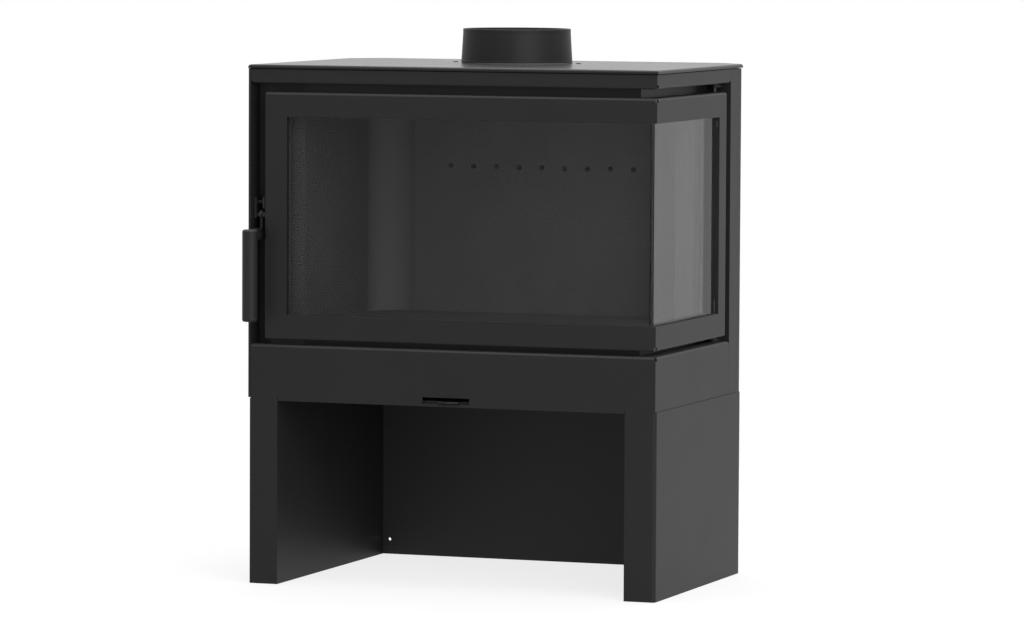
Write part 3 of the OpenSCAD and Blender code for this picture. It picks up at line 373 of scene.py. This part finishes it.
WEARS = {
    OUTER: (
        "stand_left_leg", "stand_right_leg", "casing_floor", "lower_panel", "fascia_band",
        "right_pillar", "left_side_panel", "rear_casing", "door_frame",
        "upper_hinge_lug", "lower_hinge_lug",
    ),
    TOP: ("top_plate", "top_screws"),
    BAY_FILL_LIT: ("stand_back_panel",),
    STILE_LIGHT_AND_SHADE: ("firebox_left_stile",),
    RETAINER: ("glass_retainer",),
    COLLAR: ("flue_collar",),
    HANDLE: ("handle_lever", "handle_grip"),
    INNER: (
        "flue_outlet_tube", "firebox_left_wall", "firebox_back_wall", "firebox_floor",
        "firebox_roof", "latch_strip", "stile_infill", "firebox_rear_stile", "firebox_top_rail",
        "firebox_bottom_rail", "firebox_supports", "baffle_support", "secondary_air_duct",
        "primary_air_duct", "slider_guide", "retainer_standoffs", "top_spacers", "rear_spacers",
        "air_slider",
    ),
    BLACK_STEEL: (
        "upper_hinge_pin", "lower_hinge_pin", "keeper_pin", "stand_bolts", "rear_screws",
        "latch_keeper", "retainer_screws", "upper_hinge_block", "lower_hinge_block",
        "latch_pivot",
    ),
    BOARD: ("lining_back", "lining_floor", "baffle_plate"),
    BOARD_SHADED: ("lining_left", "lining_right"),
    BOARD_BENT: ("lining_corner",),
    GLASS: ("front_glass", "side_glass"),
    TAPE: ("glass_tape",),
    FIBRE: ("flue_gasket",),
    ROPE: ("door_rope_seal",),
}
for material, names in WEARS.items():
    for name in names:
        NODES[name].data.materials.clear()
        NODES[name].data.materials.append(material)
# the photo's glass doesn't mirror the inner lip of its own frame
NODES["door_frame"].visible_glossy = False


# ---------------------------------------------------------------- new pieces
def mesh_piece(name, verts, faces, material, body):
    mesh = bpy.data.meshes.new(name)
    mesh.from_pydata([tuple(v) for v in verts], [], faces)
    mesh.update()
    mesh.shade_smooth()
    obj = bpy.data.objects.new(name, mesh)
    obj.data.materials.append(material)
    bpy.context.scene.collection.objects.link(obj)
    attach(obj, body)
    return obj


def fillet_path(points, radius, step):
    """A closed path with rounded right-angled corners, cut to about one point per step."""
    path = []
    bends = max(4, round(radius * math.pi / 2 / step))
    for i, here in enumerate(points):
        before, after = points[i - 1], points[(i + 1) % len(points)]
        back, ahead = (before - here).normalized(), (after - here).normalized()
        last, start = before - back * radius, here + back * radius
        pieces = max(1, round((start - last).length / step))
        path += [last.lerp(start, k / pieces) for k in range(pieces)]
        centre = here + (back + ahead) * radius
        for k in range(bends):
            turn = math.pi / 2 * k / bends
            path.append(centre - ahead * radius * math.cos(turn) - back * radius * math.sin(turn))
    return path


def braid(turn, run):
    """Height of a braided cover, 0 to 1: two sets of strands that pass over and under."""
    u = turn * BRAID_STRANDS / (2 * math.pi) + run / BRAID_PITCH
    v = turn * BRAID_STRANDS / (2 * math.pi) - run / BRAID_PITCH
    over = (math.floor(u) + math.floor(v)) % 2
    first, second = abs(math.sin(math.pi * u)), abs(math.sin(math.pi * v))
    return max(first * (1.0 if over else BRAID_UNDER), second * (BRAID_UNDER if over else 1.0))


def rope_ring(point, tangent, run, around):
    """The points round one squarish cross-section of the rope, which faces the stove's front or side."""
    front, side = ROPE_FRONT[1], ROPE_SIDE[0]
    past_bend = min(1.0, max(0.0, (point.y - front) / ROPE_BEND))
    turned = past_bend if point.x > side - ROPE_BEND - 1.0 else 0.0
    depth = Vector((0, 1, 0)).lerp(Vector((-1, 0, 0)), turned).normalized()
    depth = (depth - tangent * depth.dot(tangent)).normalized()
    across = tangent.cross(depth)
    half_depth = ROPE_HALF_DEPTH + ROPE_SIDE_SWELL * turned
    ring = []
    for j in range(around):
        turn = 2 * math.pi * j / around
        c, s = math.cos(turn), math.sin(turn)
        lump = 1.0 - ROPE_LUMPS + ROPE_LUMPS * braid(turn, run)
        square = 1.0 / (abs(c) ** 3 + abs(s) ** 3) ** (1 / 3)
        offset = across * (ROPE_HALF_WIDTH * c * square * lump) + depth * (half_depth * s * square * lump)
        ring.append(row(*(point + offset)))
    return ring


def rope_seal():
    """The knitted rope of the door, in place of the plain ring."""
    left, front = ROPE_FRONT
    side, rear = ROPE_SIDE
    low, high = ROPE_Z
    corners = [Vector(corner) for corner in (
        (left, front, low), (left, front, high), (side, front, high),
        (side, rear, high), (side, rear, low), (side, front, low),
    )]
    step, around = ((1.1, 24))
    path = fillet_path(corners, ROPE_BEND, step)
    verts, faces, run = [], [], 0.0
    for i, point in enumerate(path):
        following = (i + 1) % len(path)
        tangent = (path[following] - path[i - 1]).normalized()
        verts += rope_ring(point, tangent, run, around)
        run += (path[following] - point).length
        for j in range(around):
            beside = (j + 1) % around
            here, there = i * around, following * around
            faces.append((here + j, here + beside, there + beside, there + j))
    obj = mesh_piece("rope_seal_knitted", verts, faces, ROPE, "door")
    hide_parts("door_rope_seal")


rope_seal()


# ---------------------------------------------------------------- floor, world, light
def floor():
    """Plain white to the camera, with enough lit floor near the stove to hold its shadow."""
    mat, tree, surface = new_material("floor_white")
    white = (1, 1, 1, 1)
    matt = add(tree, "BsdfDiffuse", {"Color": white})
    plain = add(tree, "Emission", {"Color": white, "Strength": 1.0})
    away = add(tree, "VectorMath", {0: object_coords(tree)}, operation="LENGTH").outputs["Value"]
    seen = spread(tree, away, FLOOR_WHITE, 1.0, *FLOOR_FADE)
    share = spread(tree, background_rays(tree), FLOOR_GLOW, seen, 0.0, 1.0)
    shader_mix(tree, share, matt, plain, surface)
    mesh = bpy.data.meshes.new("floor")
    corners = [(x * FLOOR_HALF, y * FLOOR_HALF, 0) for x, y in ((-1, -1), (1, -1), (1, 1), (-1, 1))]
    mesh.from_pydata(corners, [], [(0, 1, 2, 3)])
    mesh.materials.append(mat)
    obj = bpy.data.objects.new("floor", mesh)
    bpy.context.scene.collection.objects.link(obj)
    obj.location.z = -FLOOR_DROP


def world():
    studio = bpy.data.worlds.new("studio")
    bpy.context.scene.world = studio
    studio.use_nodes = True
    tree = studio.node_tree
    back = tree.nodes["Background"]
    back.inputs["Color"].default_value = (1, 1, 1, 1)
    strength = spread(tree, background_rays(tree), SKY, 1.0, 0.0, 1.0)
    tree.links.new(strength, back.inputs["Strength"])


def lamp(name, wide, deep, place, turn, bright):
    """A rectangular soft light that the camera doesn't see."""
    data = bpy.data.lights.new(name, "AREA")
    data.shape = "RECTANGLE"
    data.size = wide
    data.size_y = deep
    data.energy = bright * math.pi * wide * deep
    obj = bpy.data.objects.new(name, data)
    obj.location = place
    obj.rotation_euler = [math.radians(a) for a in turn]
    obj.visible_camera = False
    bpy.context.scene.collection.objects.link(obj)


floor()
world()
for settings in LAMPS:
    lamp(*settings)


# ---------------------------------------------------------------- camera
def camera():
    """The photograph's camera: turned left by its yaw, down by its pitch, then rolled."""
    ahead = Vector((-math.sin(CAMERA_YAW), math.cos(CAMERA_YAW), 0))
    right = Vector((math.cos(CAMERA_YAW), math.sin(CAMERA_YAW), 0))
    up = Vector((0, 0, 1))
    forward = ahead * math.cos(CAMERA_PITCH) - up * math.sin(CAMERA_PITCH)
    lift = up * math.cos(CAMERA_PITCH) + ahead * math.sin(CAMERA_PITCH)
    x_axis = right * math.cos(CAMERA_ROLL) + lift * math.sin(CAMERA_ROLL)
    y_axis = lift * math.cos(CAMERA_ROLL) - right * math.sin(CAMERA_ROLL)
    data = bpy.data.cameras.new("camera")
    data.sensor_fit = "HORIZONTAL"
    data.sensor_width = SENSOR_MM
    data.lens = SENSOR_MM * FOCAL_PX / PHOTO_WIDTH_PX
    data.clip_end = CAMERA_FAR
    obj = bpy.data.objects.new("camera", data)
    bpy.context.scene.collection.objects.link(obj)
    columns = Matrix((x_axis, y_axis, -forward)).transposed().to_4x4()
    obj.matrix_world = Matrix.Translation(CAMERA_PLACE) @ columns
    bpy.context.scene.camera = obj


camera()
bpy.context.scene.view_settings.view_transform = "Standard"
